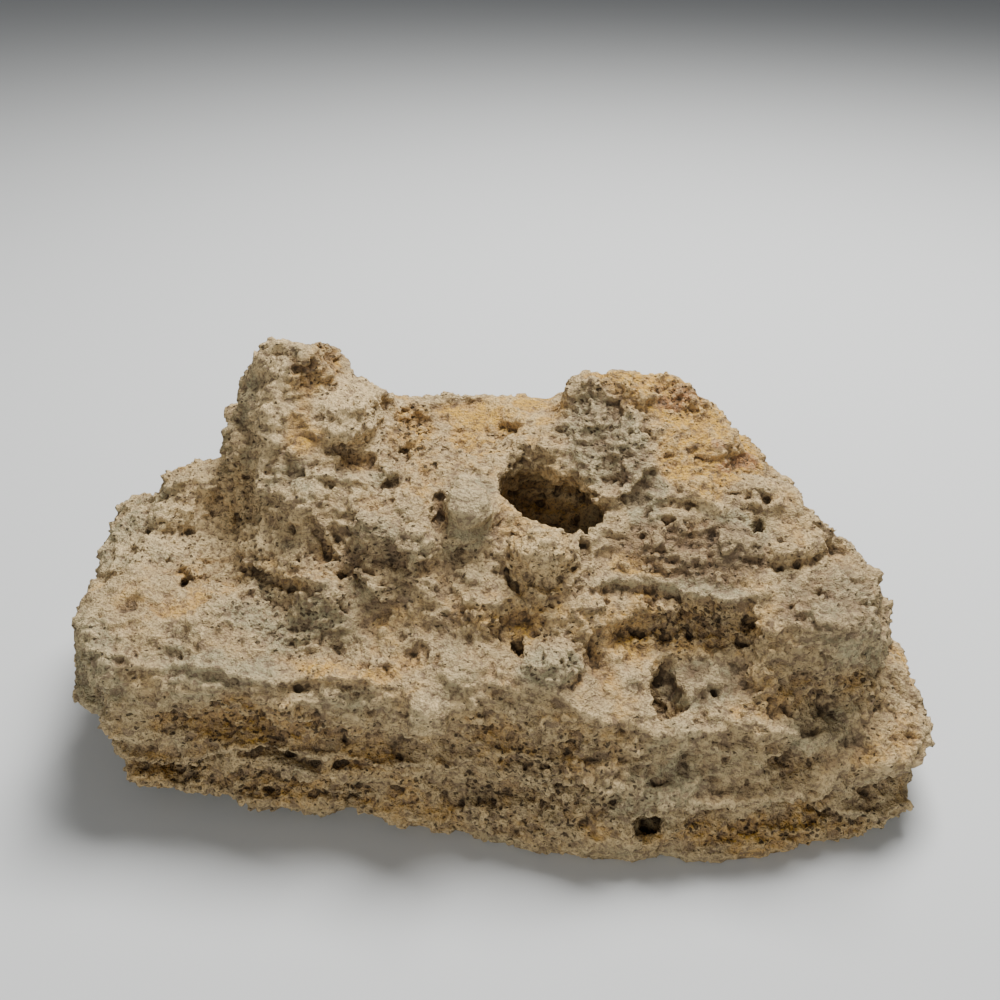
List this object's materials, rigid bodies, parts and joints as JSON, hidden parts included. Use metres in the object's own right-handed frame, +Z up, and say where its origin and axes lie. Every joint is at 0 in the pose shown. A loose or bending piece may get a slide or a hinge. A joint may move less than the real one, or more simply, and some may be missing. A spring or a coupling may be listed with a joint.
{
  "type": "fossil coral head",
  "caption": "Loose block of porous, layered fossil reef limestone with a spur, a rounded dome and an open cavity between them.",
  "frame": {"origin": "on the ground plane, under the middle of the block's bounding box", "axes": "+X along the block's length towards the dome, +Y to the back, +Z up"},
  "size_m": [0.3192, 0.2018, 0.1335],
  "materials": {
    "limestone": "rough, porous and layered, tan to pale cream with rusty recesses"
  },
  "bodies": {
    "root": {"coral_head": "limestone"}
  },
  "joints": []
}
